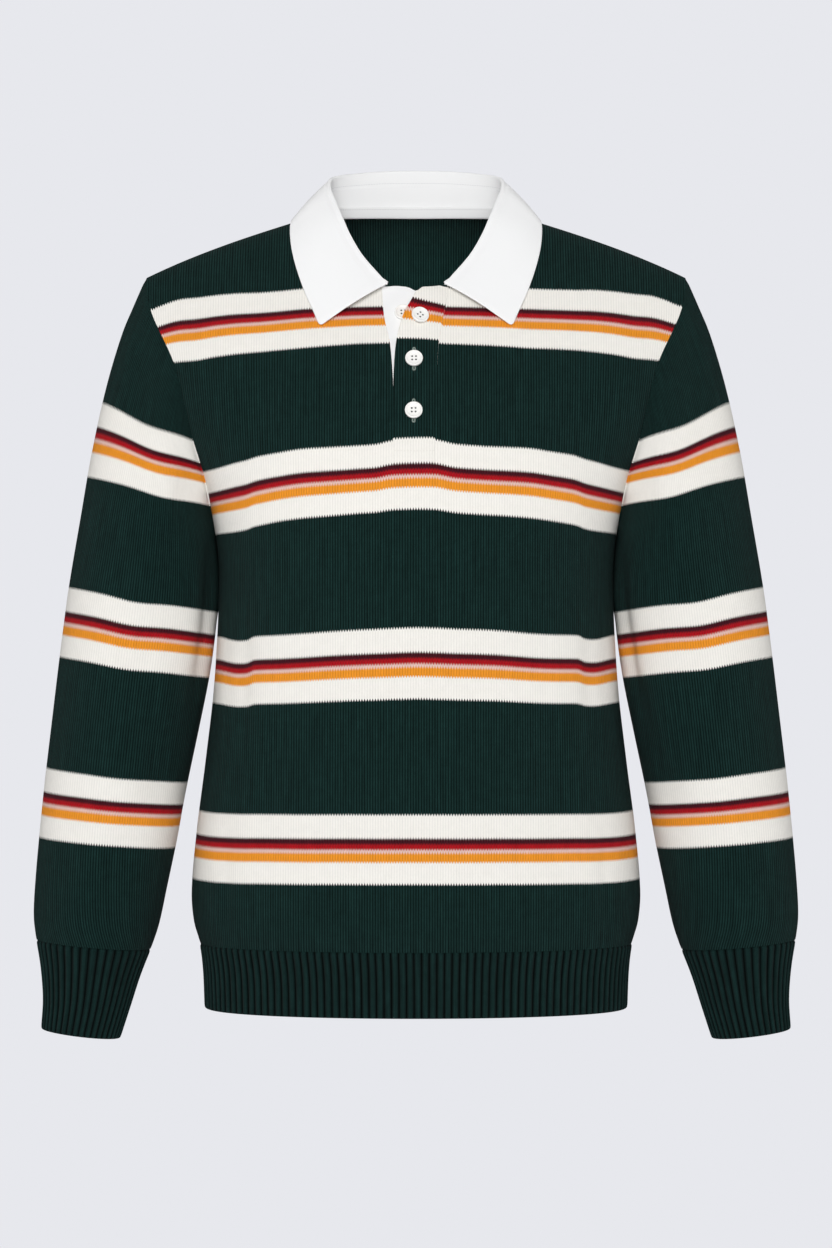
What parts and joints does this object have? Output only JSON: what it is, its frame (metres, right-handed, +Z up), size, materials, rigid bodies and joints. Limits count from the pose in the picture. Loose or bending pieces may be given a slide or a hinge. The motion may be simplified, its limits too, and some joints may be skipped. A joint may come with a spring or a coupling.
{
  "type": "rugby-style sweatshirt",
  "caption": "Long-sleeved striped knit sweatshirt with a white woven collar, a buttoned placket, ribbed hem and ribbed cuffs, filled out as if worn.",
  "frame": {"origin": "middle of the neck, level with the high shoulder points, where the wearer's neck and shoulders hold the garment", "axes": "+Z up the body, +X towards the wearer's left, -Y out of the chest"},
  "size_m": [0.6876, 0.2346, 0.7872],
  "materials": {
    "striped_knit": "cotton stockinette knit, dark green with ivory, maroon, red, pink and orange stripes",
    "green_rib": "ribbed cotton knit, dark green",
    "white_cotton": "woven white cotton, matt",
    "button": "white four-hole resin button, satin"
  },
  "bodies": {
    "root": {"front_panel": "striped_knit", "back_panel_upper": "striped_knit", "back_panel_lower": "striped_knit", "hem_rib": "green_rib", "sleeve_left_upper": "striped_knit", "sleeve_left_lower": "striped_knit", "sleeve_right_upper": "striped_knit", "sleeve_right_lower": "striped_knit", "cuff_left": "green_rib", "cuff_right": "green_rib", "placket_over": "striped_knit", "placket_under": "white_cotton", "collar_stand": "white_cotton", "collar_fall": "white_cotton", "neck_tape": "white_cotton", "button_top": "button", "button_middle": "button", "button_lower": "button", "button_under": "button"}
  },
  "joints": []
}
